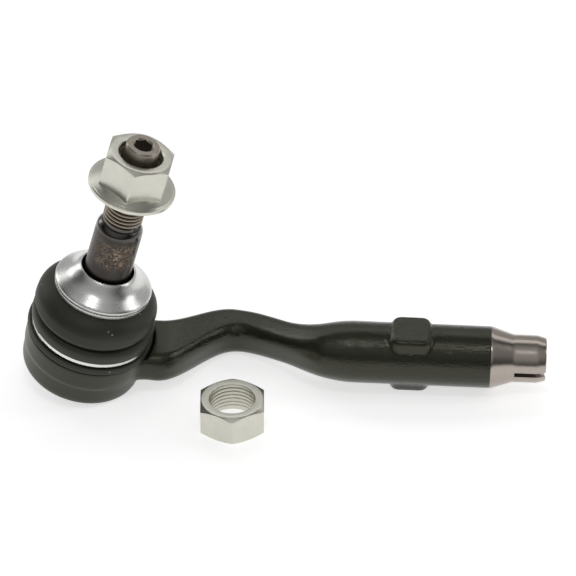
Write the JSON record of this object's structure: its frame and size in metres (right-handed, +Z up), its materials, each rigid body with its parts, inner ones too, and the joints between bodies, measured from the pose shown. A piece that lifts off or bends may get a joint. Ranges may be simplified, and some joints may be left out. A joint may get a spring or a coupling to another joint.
{
  "type": "tie rod end",
  "caption": "Outer tie rod end: forged S-shaped arm with a slotted, internally threaded end, a booted ball stud with collar and flange nut, and a loose lock nut.",
  "frame": {"origin": "centre of the ball, on the ball stud's pivot", "axes": "+X towards the slotted end of the arm, +Z up from the bench the part lies on, -Y towards the loose nut"},
  "size_m": [0.1833, 0.0639, 0.1035],
  "materials": {
    "black_coat": "satin black coat on a forging",
    "bearing_plastic": "smooth natural acetal",
    "spring_steel": "oiled spring steel",
    "dark_steel": "dark phosphated steel",
    "rubber_black": "matt moulded rubber",
    "clamp_steel": "bright spring wire",
    "turned_aluminium": "fine turned",
    "zinc_plate": "satin zinc plate"
  },
  "bodies": {
    "housing": {"forged_body": "black_coat", "upper_bearing": "bearing_plastic", "lower_bearing": "bearing_plastic", "disc_spring": "spring_steel", "end_cap": "black_coat", "boot_foot": "rubber_black", "clamp_ring": "clamp_steel"},
    "boot_mid": {"boot_bellows": "rubber_black"},
    "sleeve": {"collar": "turned_aluminium", "top_ring": "spring_steel"},
    "stud": {"ball_stud": "dark_steel"},
    "stud_nut": {"flange_nut": "zinc_plate"},
    "loose_nut": {"lock_nut": "zinc_plate"}
  },
  "joints": [
    {"name": "stud_swing_along", "type": "hinge", "parent": "housing", "child": "boot_mid", "pos_m": [0, 0, 0], "axis": [0.0035, 0.9912, 0.1322], "range_deg": [-20.8, 19.2], "deforming": ["boot_bellows"]},
    {"name": "stud_swing_across", "type": "hinge", "parent": "boot_mid", "child": "sleeve", "pos_m": [0, 0, 0], "axis": [-0.9691, -0.0293, 0.2451], "range_deg": [-25.5, 14.5], "deforming": ["boot_bellows"]},
    {"name": "stud_spin", "type": "hinge", "parent": "sleeve", "child": "stud", "pos_m": [0, 0, 0], "axis": [0.246, -0.0334, 0.9687], "continuous": true},
    {"name": "flange_nut_travel", "type": "slide", "parent": "stud", "child": "stud_nut", "axis": [0.246, -0.0334, 0.9687], "range_m": [-0.014, 0.06]},
    {"name": "lock_nut_lift", "type": "slide", "parent": "housing", "child": "loose_nut", "axis": [0, 0, 1], "range_m": [0, 0.04]}
  ]
}
